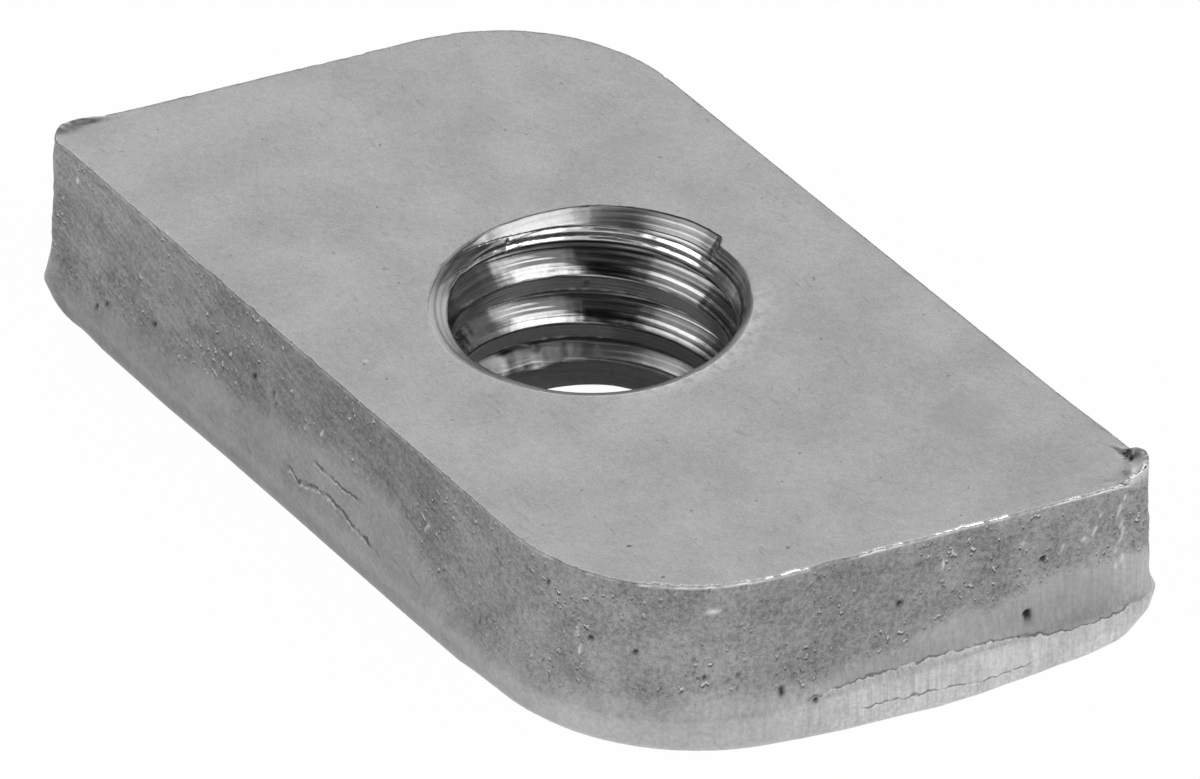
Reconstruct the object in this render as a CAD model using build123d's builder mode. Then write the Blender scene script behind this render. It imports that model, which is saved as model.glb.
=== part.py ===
from build123d import *
from math import cos, hypot, radians, sin, tan
import os

os.makedirs("parts", exist_ok=True)

# Slide nut blanked from flat steel bar, with a tapped hole through its middle.
# All lengths in mm. Z = 0 is the underside (the rolled side of the blank), +Z is the
# burred side that the punch left last, X runs along the two long edges, and the axis
# of the hole is the Z axis.

# the blank, measured at its widest level
width = 10.1              # between the two long edges
length = 16.95            # between the two short edges, measured square to them
thickness = 3.5           # plate thickness
lean = 12.0               # degrees by which the short edges lean away from square
round_radius = 3.85       # the two blunt corners, rounded so that the nut can turn in its rail
tip_radius = 0.64         # the two pointed corners, left as cut

# the cut wall, from the underside up
roll_width = 0.42         # how far the rolled edge draws in under the long edges
roll_height = 0.42        # how high the rolled edge climbs on the long edges
tip_roll_radius = 2.1     # plan radius of the pointed corners at the underside
flare_level = 0.80        # level of the widest line of the wall
torn_level = 1.70         # level where the flare has run out and the torn zone begins
flare_inset = 0.15        # how far the wall has drawn in at that level
mouth_inset = 0.235       # how far the wall has drawn in at the upper face

# the burr lips that stand on the upper face at the two pointed corners
lip_height = 0.15         # above the upper face
lip_round = 0.85          # plan radius of the lip's inner edge
lip_span = 0.85           # how far the lip reaches back from the corner

# the tapped hole, M6 x 1, drawn at its minor diameter
minor_diameter = 5.0
countersink = 0.215       # its bevel at the upper face, as deep as it is wide
exit_break = 0.08         # edge break at the underside

skew = tan(radians(lean))


def corner_points(inset):
    """Four corners of the blank's outline, drawn in by inset all round, anticlockwise."""
    half_width = width / 2 - inset
    half_length = (length / 2 - inset) / cos(radians(lean))
    shift = half_width * skew
    return [
        (-half_length - shift, -half_width),
        (half_length - shift, -half_width),
        (half_length + shift, half_width),
        (-half_length + shift, half_width),
    ]


# each station is a level, an inset all round and a plan radius of the pointed corners
tip_growth = tip_roll_radius - tip_radius
foot_stations = []
for step in [14, 36, 62, 90]:
    turn = radians(step)
    level = roll_height * (1 - cos(turn) / cos(radians(14)))
    inset = roll_width * (1 - sin(turn))
    foot_stations.append((level, inset, tip_radius + tip_growth * (1 - step / 120)))
half_way = (roll_height + flare_level) / 2
foot_stations.append((half_way, 0.0, tip_radius + tip_growth * 0.10))
foot_stations.append((flare_level, 0.0, tip_radius))

wall_stations = [(flare_level, 0.0)]
wall_stations.append(((flare_level + torn_level) / 2, flare_inset * 0.58))
wall_stations.append((torn_level, flare_inset))
for share in [0.33, 0.67, 1.0]:
    level = torn_level + (thickness - torn_level) * share
    wall_stations.append((level, flare_inset + (mouth_inset - flare_inset) * share))

tip_reach = hypot(*corner_points(mouth_inset)[0])

with BuildPart() as slide_nut:
    # the rolled foot of the blank: a loft through an outline at each level
    for level, inset, tip in foot_stations:
        with BuildSketch(Plane.XY.offset(level)) as foot:
            with BuildLine():
                Polyline(*corner_points(inset), close=True)
            make_face()
            fillet(foot.vertices().sort_by(SortBy.DISTANCE)[:2], radius=round_radius - inset)
            fillet(foot.vertices().sort_by(SortBy.DISTANCE)[-2:], radius=tip)
    loft()

    # the wall above it, flared at first and then almost upright
    for level, inset in wall_stations:
        with BuildSketch(Plane.XY.offset(level)) as wall:
            with BuildLine():
                Polyline(*corner_points(inset), close=True)
            make_face()
            fillet(wall.vertices().sort_by(SortBy.DISTANCE)[:2], radius=round_radius - inset)
            fillet(wall.vertices().sort_by(SortBy.DISTANCE)[-2:], radius=tip_radius - inset)
    loft()

    # the tapped hole at its minor diameter, with its countersink and edge break
    Hole(radius=minor_diameter / 2)
    upper_rim = slide_nut.edges().filter_by(GeomType.CIRCLE).group_by(Axis.Z)[-1]
    chamfer(upper_rim, length=countersink)
    lower_rim = slide_nut.edges().filter_by(GeomType.CIRCLE).group_by(Axis.Z)[0]
    chamfer(lower_rim, length=exit_break)

    # the burr lips: what lies between the pointed corners and rounder ones
    with BuildSketch(Plane.XY.offset(thickness)) as inner:
        with BuildLine():
            Polyline(*corner_points(mouth_inset), close=True)
        make_face()
        fillet(inner.vertices().sort_by(SortBy.DISTANCE)[-2:], radius=lip_round)
    with BuildSketch(Plane.XY.offset(thickness)) as lips:
        with BuildLine():
            Polyline(*corner_points(mouth_inset), close=True)
        make_face()
        fillet(lips.vertices().sort_by(SortBy.DISTANCE)[-2:], radius=tip_radius - mouth_inset)
        add(inner.sketch, mode=Mode.SUBTRACT)
        Circle(radius=tip_reach - lip_span, mode=Mode.SUBTRACT)
    extrude(lips.sketch, amount=lip_height)

slide_nut.part.label = "slide_nut"
export_step(slide_nut.part, "parts/slide_nut.step")
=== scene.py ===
from math import cos, pi, radians, sin, tan

import bpy
import numpy as np
from bpy.props import FloatProperty, FloatVectorProperty, PointerProperty
from mathutils import Matrix, Vector


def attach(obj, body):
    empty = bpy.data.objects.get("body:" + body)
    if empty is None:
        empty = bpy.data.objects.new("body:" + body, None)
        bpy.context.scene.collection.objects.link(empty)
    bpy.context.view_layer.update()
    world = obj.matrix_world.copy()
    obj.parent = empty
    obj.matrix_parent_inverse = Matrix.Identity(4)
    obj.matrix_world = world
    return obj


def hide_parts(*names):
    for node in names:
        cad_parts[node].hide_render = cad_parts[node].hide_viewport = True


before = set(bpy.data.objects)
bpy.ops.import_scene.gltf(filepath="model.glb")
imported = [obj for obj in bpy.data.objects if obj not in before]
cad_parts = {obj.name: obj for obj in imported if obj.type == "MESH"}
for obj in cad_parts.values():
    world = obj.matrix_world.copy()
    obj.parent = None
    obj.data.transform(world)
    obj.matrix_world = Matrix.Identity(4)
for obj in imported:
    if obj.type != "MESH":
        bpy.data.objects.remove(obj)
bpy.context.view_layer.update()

bl_info = {
    "name": "Slide nut",
    "version": (1, 0, 0),
    "blender": (4, 5, 0),
    "location": "3D View > Sidebar > Slide nut",
    "description": "A blanked and tapped slide nut on a white studio floor",
    "category": "Object",
}

CAMERA_SHIFT = (0.00012958, -0.00150098)      # sideways and upward, in metres

# Samples round the nut, from the left tip anticlockwise: tip, long edge, near round
# corner, short edge, right tip, far long edge, far round corner, far short edge.
OUTLINE_SAMPLES = (32, 300, 120, 160, 36, 170, 62, 80)
BORE_SHARE = 3            # one sample of the hole for three of the outline

# Where the torn part of the wall ends below: edge length from the left tip, height (mm)
TEAR_LINE = np.array([
    (0.0, 0.56), (2.1, 0.58), (3.1, 0.64), (4.3, 0.89), (5.6, 0.97), (5.9, 1.17), (7.3, 1.30),
    (9.0, 1.62), (10.9, 1.85), (11.7, 1.45), (12.8, 1.05), (13.3, 0.72), (14.6, 0.70),
    (15.5, 0.62), (16.4, 0.72), (17.7, 0.86), (18.9, 0.92), (20.2, 0.95), (21.5, 1.18),
    (22.6, 1.48), (23.7, 1.52), (24.5, 1.72), (25.3, 1.92), (26.6, 1.9), (28.5, 1.5), (31.0, 1.15),
    (33.5, 1.6), (36.0, 2.0), (39.0, 1.45), (42.0, 1.1), (45.0, 1.5), (48.0, 1.8), (50.3, 1.1),
    (52.44, 0.56)])

# Height over which the tear sets in above that line, along the edge (mm)
TEAR_WIDTH = np.array([
    (0.0, 0.60), (11.0, 0.60), (15.0, 0.65), (19.0, 0.65), (21.0, 0.35), (27.0, 0.30), (30.0, 0.5)])

# Height of the widest line of the wall along the edge (mm)
WIDEST_LINE = np.array([
    (0.0, 0.55), (2.5, 0.62), (8.0, 0.75), (17.0, 0.8), (22.0, 0.85), (25.5, 1.05), (27.0, 1.13),
    (29.0, 0.95), (35.0, 0.8), (43.0, 0.75), (49.0, 0.7), (52.44, 0.55)])

# Power of the wall's flare along the edge: the higher, the lower down the flare begins
FLARE_POWER = np.array([
    (0.0, 5.0), (8.0, 5.0), (22.0, 6.0), (27.0, 8.0), (31.0, 6.0), (52.4, 5.0)])

# How far the rolled foot draws in along the edge (mm)
FOOT_DRAW = np.array([
    (0.0, 0.45), (0.8, 0.32), (2.0, 0.15), (4.0, 0.13), (6.0, 0.18), (11.5, 0.17), (13.2, 0.20),
    (14.2, 0.42), (15.5, 0.70), (17.0, 0.79), (18.3, 0.74), (19.2, 0.58), (20.4, 0.34),
    (21.5, 0.23), (23.0, 0.20), (24.0, 0.16), (25.0, 0.22), (26.0, 0.50), (27.0, 0.60),
    (28.5, 0.35), (30.0, 0.25), (38.0, 0.25), (41.0, 0.50), (43.0, 0.70), (45.5, 0.52),
    (47.0, 0.28), (50.0, 0.25), (52.44, 0.45)])

# Round pits in the wall: edge length, height, radius, depth (mm)
WALL_PITS = np.array([
    (24.29, 1.44, 0.075, 0.09), (24.58, 2.45, 0.05, 0.06), (19.84, 1.22, 0.06, 0.05),
    (18.49, 1.66, 0.045, 0.04), (4.09, 1.46, 0.05, 0.05), (15.57, 2.95, 0.045, 0.05),
    (20.41, 0.90, 0.05, 0.03), (7.08, 2.14, 0.045, 0.05), (7.66, 2.13, 0.045, 0.05),
    (12.11, 1.35, 0.035, 0.03), (12.57, 0.52, 0.04, 0.03), (14.02, 1.36, 0.035, 0.03),
    (16.47, 2.20, 0.05, 0.04), (2.40, 0.90, 0.04, 0.03), (2.67, 1.06, 0.045, 0.04),
    (2.40, 1.50, 0.04, 0.03), (17.3, 2.1, 0.045, 0.04), (22.0, 2.3, 0.05, 0.05),
    (33.0, 1.9, 0.05, 0.05), (37.2, 0.95, 0.05, 0.04), (41.8, 2.2, 0.06, 0.06),
    (46.8, 1.3, 0.06, 0.07), (49.0, 2.5, 0.045, 0.04), (30.5, 2.4, 0.05, 0.05)])

# Cracks in the wall as strings of points: edge length, height (mm)
WALL_CRACKS = (
    ((8.27, 1.03), (8.46, 0.96), (8.69, 0.94), (9.0, 1.07), (9.23, 1.11), (9.54, 1.11),
     (9.77, 1.1), (9.92, 0.97), (10.07, 0.99), (10.38, 1.06), (10.53, 0.98), (10.76, 0.95)),
    ((8.96, 1.54), (9.31, 1.52), (9.65, 1.5), (10.07, 1.51), (10.38, 1.57)),
    ((20.3, 0.98), (20.84, 1.04), (21.62, 1.11), (22.05, 1.09), (22.55, 1.14), (22.9, 1.1),
     (23.47, 1.13), (24.4, 1.06), (24.9, 1.0), (25.5, 1.02), (26.1, 1.1)),
    ((21.37, 0.52), (22.3, 0.49), (22.5, 0.53), (22.87, 0.46), (23.3, 0.43), (23.76, 0.38),
     (24.29, 0.44), (24.65, 0.52)),
    ((35.0, 1.25), (35.5, 1.17), (36.1, 1.22), (36.7, 1.13), (37.4, 1.18)),
    ((43.5, 0.8), (44.2, 0.86), (44.9, 0.82), (45.6, 0.9)))

LEDGE = 2                 # the crack above which the smooth band of the short edge is duller

# Tone of the wall along the edge: edge length, torn part, smooth band
WALL_TONE = np.array([
    (0.0, 1.02, 0.62), (3.0, 0.94, 0.63), (5.0, 0.82, 0.64), (8.0, 0.76, 0.64), (12.0, 0.80, 0.72),
    (14.0, 0.92, 0.80), (15.0, 0.97, 0.88), (16.2, 1.04, 1.02), (18.0, 1.12, 1.06),
    (20.0, 1.06, 1.16), (21.5, 1.03, 1.36), (23.0, 1.05, 1.40), (24.5, 1.12, 1.34),
    (26.5, 1.26, 1.33), (29.0, 1.05, 1.0), (40.0, 1.0, 0.8), (52.44, 1.02, 0.62)])

# Bright scratches in the wall: edge length and height of both ends (mm)
WALL_SCRATCHES = np.array([
    (18.52, 3.0, 18.78, 2.97), (1.52, 2.98, 1.68, 3.04), (22.76, 2.8, 22.78, 2.95),
    (12.2, 2.1, 12.3, 2.25), (16.2, 2.2, 16.21, 2.35), (16.25, 1.8, 16.26, 1.95),
    (9.1, 2.15, 9.14, 2.25), (24.9, 2.5, 24.95, 2.62), (34.0, 2.5, 34.4, 2.55),
    (25.95, 2.95, 25.97, 3.12), (26.02, 2.5, 26.03, 2.65), (25.9, 2.2, 25.92, 2.3),
    (25.5, 2.72, 25.54, 2.8), (26.04, 3.22, 26.07, 3.30), (25.99, 2.72, 26.01, 2.84),
    (25.96, 2.36, 25.97, 2.44), (26.0, 2.02, 26.01, 2.12), (25.88, 1.9, 25.9, 1.98),
    (25.3, 2.62, 25.36, 2.66), (25.62, 3.02, 25.66, 3.08), (24.2, 2.86, 24.26, 2.9),
    (40.2, 2.0, 40.25, 2.25), (45.0, 2.4, 45.3, 2.44), (31.5, 1.9, 31.52, 2.1)])

# Marks on the upper face: x, y, size (mm), grey, share. The dark ones at the right tip's knob
# are painted shade in its hollow, and the white ones beside them are painted glints.
FACE_MARKS = (
    (5.94, -3.45, 0.09, 0.12, 0.7), (6.94, -3.48, 0.05, 0.15, 0.6), (5.83, -2.15, 0.06, 0.95, 0.5),
    (5.75, -2.05, 0.05, 0.15, 0.5), (-0.76, -4.08, 0.07, 0.95, 0.7),
    (-0.70, -4.16, 0.05, 0.15, 0.5), (-2.74, -2.34, 0.08, 0.25, 0.4),
    (-2.27, -2.37, 0.04, 0.12, 0.7), (6.20, 3.24, 0.85, 0.46, 0.30), (5.35, 6.11, 0.6, 0.90, 0.18),
    (-3.1, 3.18, 0.9, 0.55, 0.25), (-5.65, 1.63, 0.8, 0.60, 0.2), (8.64, 4.80, 0.20, 0.02, 0.92),
    (8.78, 4.84, 0.20, 0.03, 0.85), (9.02, 4.42, 0.10, 0.10, 0.4), (9.10, 4.66, 0.17, 1.0, 1.0),
    (8.94, 4.68, 0.13, 1.0, 0.8))

FACE_LEVEL = 3.5                  # height of the upper face, where those marks lie (mm)
RUBBED_SIDE = (0.95, 0.31, 0.0)   # toward the ring where the hole's burr was rubbed off

# Mouth of the hole, by degrees clockwise from the far side: rim radius, upright drop at the rim,
# then radius and depth where the countersink ends (mm)
MOUTH = np.array([
    (0, 2.735, 0.0, 2.50, 0.25), (8, 2.75, 0.02, 2.50, 0.27), (20, 2.79, 0.03, 2.50, 0.30),
    (40, 2.85, 0.03, 2.51, 0.34), (50, 2.84, 0.03, 2.51, 0.34), (52, 2.76, 0.0, 2.51, 0.36),
    (54, 2.66, 0.0, 2.50, 0.42), (62, 2.68, 0.0, 2.49, 0.54), (72, 2.70, 0.0, 2.49, 0.54),
    (84, 2.69, 0.0, 2.49, 0.42), (95, 2.71, 0.0, 2.54, 0.20), (105, 2.70, 0.0, 2.53, 0.14),
    (120, 2.69, 0.0, 2.47, 0.16), (140, 2.69, 0.0, 2.42, 0.16), (180, 2.70, 0.0, 2.42, 0.15),
    (210, 2.73, 0.0, 2.42, 0.165), (225, 2.78, 0.0, 2.42, 0.20), (240, 2.82, 0.0, 2.41, 0.24),
    (255, 2.79, 0.0, 2.41, 0.25), (270, 2.745, 0.01, 2.43, 0.25), (285, 2.695, 0.03, 2.45, 0.25),
    (295, 2.665, 0.05, 2.47, 0.23), (310, 2.64, 0.04, 2.47, 0.20), (316, 2.635, 0.01, 2.47, 0.17),
    (330, 2.635, 0.0, 2.47, 0.165), (345, 2.66, 0.0, 2.48, 0.19), (360, 2.735, 0.0, 2.50, 0.25)])

# Level of the collar the tap left uncut at the far side of the exit: degrees, depth (mm)
COLLAR = np.array([
    (-60, 2.97), (-35, 2.97), (-24, 3.05), (-14, 3.01), (0, 2.98), (22, 3.06), (35, 3.08),
    (60, 3.10)])

# Tool ridges under the countersink: depth at the far side, height (mm); and how far they climb
# on either side of it: degrees, depth (mm)
RIDGES = np.array([(0.285, 0.07), (0.45, 0.06), (0.575, 0.05), (0.655, 0.04)])
RIDGE_CLIMB = np.array([
    (-80, -0.36), (-60, -0.22), (-40, -0.14), (-20, -0.05), (0, 0.0), (20, 0.03), (40, 0.05),
    (60, 0.06)])

# Burr at the lower edges of the crests, where a glint is painted on it: degrees, half length
# (degrees), depth (mm)
BURR_DOTS = np.array([
    (-34, 8.5, 1.5), (-21, 1.2, 1.5), (-15, 1.4, 1.5), (-8, 1.6, 1.5), (-3, 1.5, 1.5),
    (5, 1.6, 1.5), (11, 1.8, 1.5), (20, 1.5, 1.5), (-39, 4.0, 2.5), (-24, 1.6, 2.5),
    (-20, 1.2, 2.5), (-13, 2.4, 2.5), (-4, 1.2, 2.5), (3, 1.0, 2.5)])

# Torn places in the thread: degrees clockwise from the far side, depth, half width, half height,
# depth of the pit (mm), darkness of the shade painted in it
BORE_PITS = np.array([
    (-28.5, 2.60, 0.20, 0.070, 0.09, 1.0), (-34.0, 2.66, 0.12, 0.05, 0.04, 0.6),
    (-24.0, 2.56, 0.06, 0.04, 0.03, 0.4), (35.6, 1.70, 0.035, 0.03, 0.05, 0.9),
    (34.6, 1.76, 0.03, 0.03, 0.04, 0.8), (-2.5, 1.40, 0.06, 0.04, 0.03, 0.8),
    (-35.3, 0.24, 0.025, 0.03, 0.03, 0.8), (-36.0, 0.31, 0.025, 0.03, 0.03, 0.8),
    (-37.0, 0.38, 0.025, 0.03, 0.03, 0.8), (10.5, 2.26, 0.06, 0.03, 0.02, 0.5),
    (-22.0, 2.78, 0.06, 0.05, 0.04, 0.4), (8.5, 3.25, 0.03, 0.03, 0.01, 0.5),
    (120.0, 1.6, 0.06, 0.06, 0.06, 0.7), (205.0, 2.3, 0.06, 0.06, 0.06, 0.7),
    (160.0, 2.9, 0.07, 0.07, 0.07, 0.7)])

# Strokes of reflected light painted in the hole: middle, half width, strength. On the thread
# the places are across the groove in pitches, on the countersink they go from 0 at its end
# to 1 at the rim.
RIGHT_STROKES = (
    (-0.03, 0.030, 0.75), (0.05, 0.030, 0.85), (0.13, 0.015, 0.4), (0.215, 0.034, 1.0),
    (0.31, 0.022, 0.7))
LEFT_STROKES = ((-0.05, 0.02, 0.5), (0.02, 0.02, 0.55), (0.085, 0.022, 0.7), (0.145, 0.022, 0.85))
CONE_STROKES = ((0.78, 0.10, 1.0), (0.40, 0.10, 0.9), (0.07, 0.06, 0.8))

# Relief of the cut wall (mm): coarse and fine grain of the torn part, upright drag lines, slow
# swell, how far the torn part lies back, crumbs and the hollows between them
TORN_GRAIN, FINE_GRAIN, DRAG_LINES, SWELL = 0.011, 0.006, 0.0035, 0.010
TORN_SINK, CRUMB_HEIGHT, HOLLOW_DEPTH = 0.012, 0.004, 0.010
CRACK_DEPTH, CRACK_WIDTH = 0.012, 0.05
# a scratch's height and width (mm), and the share of glint painted along it
SCRATCH_HEIGHT, SCRATCH_WIDTH, SCRATCH_GLINT = 0.006, 0.022, 0.66

# Heights above the face (mm): lip of the left tip, knob of the right tip, burr of the front edge
LEFT_LIP, RIGHT_KNOB, FRONT_BURR = 0.040, 0.175, 0.030
LIP_GROOVE = 0.10         # depth of the groove behind a lip, as a share of the lip's height
FOOT_HEIGHT = 0.50        # most height of the rolled foot (mm)

# Groove of the thread, in pitches: half its width, and the parts of it over which its upper and
# its lower flank run out to the crests; and the power that rounds the lower flank
GROOVE_HALF, UPPER_FLANK, LOWER_FLANK, FLANK_POWER = 0.345, 0.27, 0.40, 0.85
BURR_PLACE, BURR_HALF = -0.357, 0.042     # burr at the lower edge of a crest, in pitches
THREAD_LEAN = 0.13                        # most shift of the thread's depth by its lean (mm)
CUT_FROM, CUT_OVER = 190.0, 120.0         # where the groove runs in along the helix (degrees)
COLLAR_RADIUS, COLLAR_TAPER = 2.37, 0.02  # of the uncut collar at the exit (mm, mm per mm)
RIDGE_STEP = 0.014                        # height over which a tool ridge stands out (mm)

FACE_BUMP, WALL_BUMP, BORE_BUMP = 0.0000035, 0.000018, 0.000010     # bump depths (metres)
LAMP_DISTANCE = 0.35      # from the nut to the middle of each softbox (metres)
FLOOR_RING = (0.0030, 0.0055)     # radii between which its mirror image turns white (metres)
WHITE = (1.0, 1.0, 1.0, 1.0)


def ease(value):
    """Smooth step from 0 to 1: 3t^2 - 2t^3 of the value held between 0 and 1."""
    held = np.clip(value, 0.0, 1.0)
    return held * held * (3.0 - 2.0 * held)


def span(value, low, high, rise, fall):
    """1 between low and high, 0 outside: eased up over rise from low, down over fall to high."""
    return ease((value - low) / rise) * ease((high - value) / fall)


def bell(value, middle, width):
    """exp(-((value - middle) / width)^2)."""
    return np.exp(-((value - middle) / width) ** 2)


def scatter(i, j, k, seed):
    """One fixed value between -1 and 1 for each lattice point, from mixing its whole numbers."""
    mixed = (i * 73856093) ^ (j * 19349663) ^ (k * 83492791) ^ (seed * 2654435761)
    mixed &= 0xFFFFFFFF
    mixed = ((mixed ^ (mixed >> 13)) * 1274126177) & 0xFFFFFFFF
    mixed ^= mixed >> 16
    return mixed / 2147483647.5 - 1.0


def grain(x, y, z, seed):
    """Value noise between -1 and 1: eight lattice values round a point, in eased weights."""
    x, y, z = np.broadcast_arrays(x, y, z)
    i, j, k = (np.floor(part).astype(np.int64) for part in (x, y, z))
    u, v, w = ease(x - i), ease(y - j), ease(z - k)
    total = np.zeros(x.shape)
    for a in (0, 1):
        for b in (0, 1):
            for c in (0, 1):
                weight = (u if a else 1 - u) * (v if b else 1 - v) * (w if c else 1 - w)
                total += weight * scatter(i + a, j + b, k + c, seed)
    return total


def layered_grain(x, y, z, seed, layers=3):
    """Sum of value noises, each at 2.03 times the frequency and 0.55 of the height of the last."""
    total, height = 0.0, 1.0
    for layer in range(layers):
        scale = 2.03 ** layer
        total = total + height * grain(x * scale, y * scale, z * scale, seed + layer)
        height *= 0.55
    return total


def from_table(table, place, column=1):
    """Value of a table's column at a place of its first column, joined by straight lines."""
    return np.interp(place, table[:, 0], table[:, column])


def outline(sizes, inset, left_tip, right_tip):
    """Outlines of the blank, one for each row.

    Four corners of a parallelogram drawn in by inset, each replaced by an arc; a corner's
    arc centre is corner - radius * (n0 + n1) / (1 + n0.n1), with n0 and n1 the outward
    normals of its two edges. Straight stretches join the ends of the arcs.
    Returns points (rows, samples, 2) and outward normals (samples, 2).
    """
    inset = np.atleast_1d(inset).astype(float)
    left_tip = np.broadcast_to(left_tip, inset.shape)
    right_tip = np.broadcast_to(right_tip, inset.shape)
    half_width = sizes["width"] / 2 - inset
    half_length = (sizes["length"] / 2 - inset) / cos(sizes["lean"])
    shift = half_width * tan(sizes["lean"])
    corners = np.stack([
        np.stack([-half_length - shift, -half_width], -1),
        np.stack([half_length - shift, -half_width], -1),
        np.stack([half_length + shift, half_width], -1),
        np.stack([-half_length + shift, half_width], -1)], 1)
    lean = sizes["lean"]
    facing = np.array([-np.pi / 2, -lean, np.pi / 2, np.pi - lean])
    arriving = np.roll(facing, 1)
    arriving[0] = -np.pi - lean
    blunt = sizes["round_radius"] - inset
    radii = np.stack([left_tip, blunt, right_tip, blunt], 1)
    first = np.stack([np.cos(arriving), np.sin(arriving)], -1)
    last = np.stack([np.cos(facing), np.sin(facing)], -1)
    spread = (first + last) / (1 + (first * last).sum(-1, keepdims=True))
    centres = corners - radii[..., None] * spread[None]
    starts = centres + radii[..., None] * first[None]
    ends = centres + radii[..., None] * last[None]
    points, normals = [], []
    for corner in range(4):
        steps = np.arange(OUTLINE_SAMPLES[2 * corner]) / OUTLINE_SAMPLES[2 * corner]
        turn = arriving[corner] + (facing[corner] - arriving[corner]) * steps
        ray = np.stack([np.cos(turn), np.sin(turn)], -1)
        points.append(centres[:, corner, None] + radii[:, corner, None, None] * ray[None])
        normals.append(ray)
        steps = np.arange(OUTLINE_SAMPLES[2 * corner + 1]) / OUTLINE_SAMPLES[2 * corner + 1]
        reach = starts[:, (corner + 1) % 4, None] - ends[:, corner, None]
        points.append(ends[:, corner, None] + reach * steps[None, :, None])
        normals.append(np.broadcast_to(last[corner], (len(steps), 2)))
    return np.concatenate(points, 1), np.concatenate(normals, 0)


def distance_to_string(length, height, string):
    """Least distance from each point to a string of straight pieces.

    For each piece the share along it is (point - start) . step / step^2, held between 0 and 1.
    """
    string = np.asarray(string)
    nearest = np.full(length.shape, 1e9)
    for start, end in zip(string[:-1], string[1:]):
        step = end - start
        share = ((length - start[0]) * step[0] + (height - start[1]) * step[1]) / (step @ step)
        share = np.clip(share, 0.0, 1.0)
        gap = np.hypot(length - start[0] - share * step[0], height - start[1] - share * step[1])
        nearest = np.minimum(nearest, gap)
    return nearest


def wall_relief(length, height, x, y):
    """Outward relief of the cut wall in mm, with its torn share, painted shade and painted glint.

    Torn share: eased height above the wavy tear line. Relief: coarse and fine noise where
    torn, thin upright drag lines below, minus a bell for each pit and a groove for each crack,
    plus a low streak for each scratch. Shade is painted into the pits and the torn hollows, and
    a glint along each scratch.
    """
    wander = 0.10 * layered_grain(length / 0.55, 0, 0, 11, 3)
    torn = ease((height - from_table(TEAR_LINE, length) - wander) / from_table(TEAR_WIDTH, length))

    def layers(wide, high, seed, count=2):
        return layered_grain(x / wide, y / wide, height / high, seed, count)

    rough = TORN_GRAIN * layers(0.42, 0.16, 21, 3)
    fine = FINE_GRAIN * layers(0.10, 0.07, 31)
    drag = DRAG_LINES * layers(0.055, 1.6, 41)
    swell = SWELL * layers(1.6, 1.1, 51)
    relief = swell + torn * (rough + fine - TORN_SINK) + (1 - torn) * (drag + 0.15 * fine)
    painted_shade = np.zeros(length.shape)
    painted_glint = np.zeros(length.shape)
    for place, level, radius, depth in WALL_PITS:
        dip = np.exp(-(((length - place) ** 2 + (height - level) ** 2) / radius ** 2) ** 1.5)
        relief = relief - depth * dip
        # shade painted in the pit
        painted_shade = np.maximum(painted_shade, np.clip(1.6 * dip, 0.0, 1.0))
    for string in WALL_CRACKS:
        away = distance_to_string(length, height, string)
        relief = relief - CRACK_DEPTH * bell(away, 0.0, CRACK_WIDTH)
    for place, level, place_end, level_end in WALL_SCRATCHES:
        away = distance_to_string(length, height, [(place, level), (place_end, level_end)])
        streak = bell(away, 0.0, SCRATCH_WIDTH)
        relief = relief + SCRATCH_HEIGHT * streak
        # a glint painted along the scratch
        painted_glint = np.maximum(painted_glint, SCRATCH_GLINT * streak)
    # torn grains that stand out and catch the light, thickest in the middle of the torn part,
    # and hollows with shade painted in them
    crowd = ease(0.5 + 0.9 * layers(1.5, 0.9, 71))
    sparkle = layers(0.075, 0.06, 81)
    lit = ease((sparkle - 0.74) / 0.25) * torn * crowd
    dark_painted_hollow = ease((-sparkle - 0.78) / 0.22) * torn * crowd
    relief = relief + CRUMB_HEIGHT * lit - HOLLOW_DEPTH * dark_painted_hollow
    painted_shade = np.maximum(painted_shade, 0.5 * dark_painted_hollow)
    return relief, torn, painted_shade, painted_glint


def plan_shift(length, perimeter, level):
    """How far the wall stands out beyond the drawn outline in mm.

    Eased steps along the edge times eased steps of the level: fuller at the left tip and at the
    top beside the right tip, less full at the flare of the right tip.
    """
    back = np.where(length > perimeter / 2, length - perimeter, length)
    left = 0.055 * span(back, -1.2, 1.5, 0.6, 0.6)
    left = left * (1.0 - 0.75 * ease((level - 3.0) / 0.5))
    left = left + 0.02 * span(back, -0.9, 1.3, 0.5, 0.5) * ease((level - 1.0) / 0.8)
    beside = 0.050 * span(length, 26.9, 30.0, 0.5, 2.2) * ease((level - 1.6) / 0.8)
    flare = -0.055 * span(length, 25.6, 28.2, 0.6, 0.6) * ease((1.9 - level) / 0.6)
    upper = 0.02 * span(length, 25.9, 27.0, 0.4, 0.4) * ease((level - 1.8) / 0.5)
    return left + beside + flare + upper


def lip_height(length, perimeter):
    """Height of the burr above the face: a long lip at the left tip and a knob at the right one."""
    back = np.where(length > perimeter / 2, length - perimeter, length)
    left = LEFT_LIP * span(back, -0.65, 0.70, 0.45, 0.35)
    left = left * (1.0 + 0.22 * grain(back / 0.16, 0, 0, 91))
    right = RIGHT_KNOB * span(length, 26.10, 27.70, 0.25, 0.22)
    right = right * (1.0 + 0.08 * grain(length / 0.17, 0, 0, 92))
    return left + right


def edge_burr(length):
    """Height of the thin ragged burr along the top of the wall, full on the short front edge."""
    ragged = 0.6 + 0.5 * layered_grain(length / 0.11, 0, 0, 95, 3)
    front = span(length, 15.2, 26.4, 0.6, 0.5)
    broken = ease(0.85 + 0.9 * grain(length / 0.9, 0, 0, 97))
    return FRONT_BURR * front * broken * np.clip(ragged, 0.25, 1.3) + 0.005 * ragged


def axis_lean(clockwise):
    """Shift of depth in mm from the slight lean of the thread.

    -THREAD_LEAN f / (1 + f^3)^(1/3) with f = 1 - cos of the angle, so it levels off.
    """
    fall = 1.0 - np.cos(clockwise)
    return -THREAD_LEAN * fall / np.cbrt(1.0 + fall ** 3)


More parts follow.
